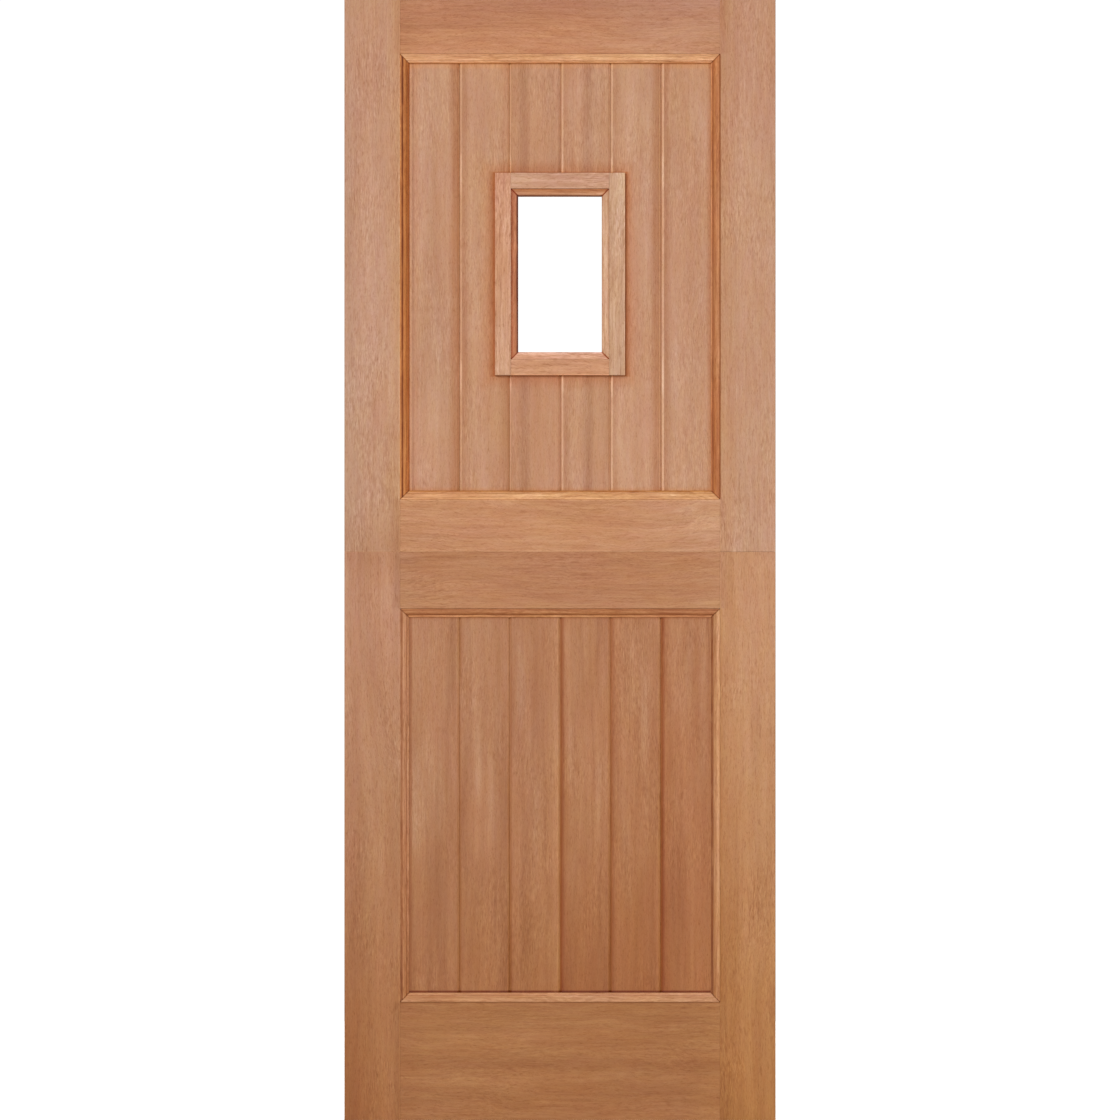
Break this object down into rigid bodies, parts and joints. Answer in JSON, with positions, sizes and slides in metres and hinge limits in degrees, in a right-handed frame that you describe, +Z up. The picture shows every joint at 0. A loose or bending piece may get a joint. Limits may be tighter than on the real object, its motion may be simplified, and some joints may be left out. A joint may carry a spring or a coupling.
{
  "type": "stable door",
  "caption": "Tall wooden stable door in two framed leaves, one above the other, panelled in upright V-jointed boards, with a small unglazed window in the upper leaf.",
  "frame": {"origin": "on the hanging edge of the lower leaf, halfway through the door's thickness, where the lowest hinge goes, 225 mm above the foot", "axes": "+X across the door from its hanging edge to its closing edge, +Y from the front face to the back, +Z up"},
  "size_m": [0.762, 0.044, 1.981],
  "materials": {
    "upper_frame_wood": "bare reddish hardwood, planed smooth, matt",
    "upper_board_wood": "bare reddish hardwood, planed smooth, matt",
    "upper_moulding_wood": "bare golden to orange hardwood, moulded, matt",
    "window_wood": "bare pale hardwood, planed smooth, matt",
    "lower_frame_wood": "bare browner hardwood, planed smooth, matt",
    "lower_board_wood": "bare browner hardwood, planed smooth, matt",
    "lower_moulding_wood": "bare browner hardwood, moulded, matt"
  },
  "bodies": {
    "root": {"upper_hanging_stile": "upper_frame_wood", "upper_closing_stile": "upper_frame_wood", "upper_top_rail": "upper_frame_wood", "upper_meeting_rail": "upper_frame_wood", "upper_board_1": "upper_board_wood", "upper_board_2": "upper_board_wood", "upper_board_3_below_window": "upper_board_wood", "upper_board_3_above_window": "upper_board_wood", "upper_board_4_below_window": "upper_board_wood", "upper_board_4_above_window": "upper_board_wood", "upper_board_5": "upper_board_wood", "upper_board_6": "upper_board_wood", "upper_front_moulding_hanging_side": "upper_moulding_wood", "upper_front_moulding_top": "upper_moulding_wood", "upper_front_moulding_closing_side": "upper_moulding_wood", "upper_front_moulding_bottom": "upper_moulding_wood", "upper_back_bead_hanging_side": "upper_moulding_wood", "upper_back_bead_top": "upper_moulding_wood", "upper_back_bead_closing_side": "upper_moulding_wood", "upper_back_bead_bottom": "upper_moulding_wood", "window_front_frame_hanging_side": "window_wood", "window_front_frame_closing_side": "window_wood", "window_front_frame_bottom": "window_wood", "window_front_frame_top": "window_wood", "window_front_bead_hanging_side": "window_wood", "window_front_bead_top": "window_wood", "window_front_bead_closing_side": "window_wood", "window_front_bead_bottom": "window_wood", "window_back_frame_hanging_side": "window_wood", "window_back_frame_closing_side": "window_wood", "window_back_frame_bottom": "window_wood", "window_back_frame_top": "window_wood", "window_back_bead_hanging_side": "window_wood", "window_back_bead_top": "window_wood", "window_back_bead_closing_side": "window_wood", "window_back_bead_bottom": "window_wood", "lower_hanging_stile": "lower_frame_wood", "lower_closing_stile": "lower_frame_wood", "lower_meeting_rail": "lower_frame_wood", "lower_bottom_rail": "lower_frame_wood", "lower_board_1": "lower_board_wood", "lower_board_2": "lower_board_wood", "lower_board_3": "lower_board_wood", "lower_board_4": "lower_board_wood", "lower_board_5": "lower_board_wood", "lower_board_6": "lower_board_wood", "lower_front_moulding_hanging_side": "lower_moulding_wood", "lower_front_moulding_top": "lower_moulding_wood", "lower_front_moulding_closing_side": "lower_moulding_wood", "lower_front_moulding_bottom": "lower_moulding_wood", "lower_back_bead_hanging_side": "lower_moulding_wood", "lower_back_bead_top": "lower_moulding_wood", "lower_back_bead_closing_side": "lower_moulding_wood", "lower_back_bead_bottom": "lower_moulding_wood"}
  },
  "joints": []
}
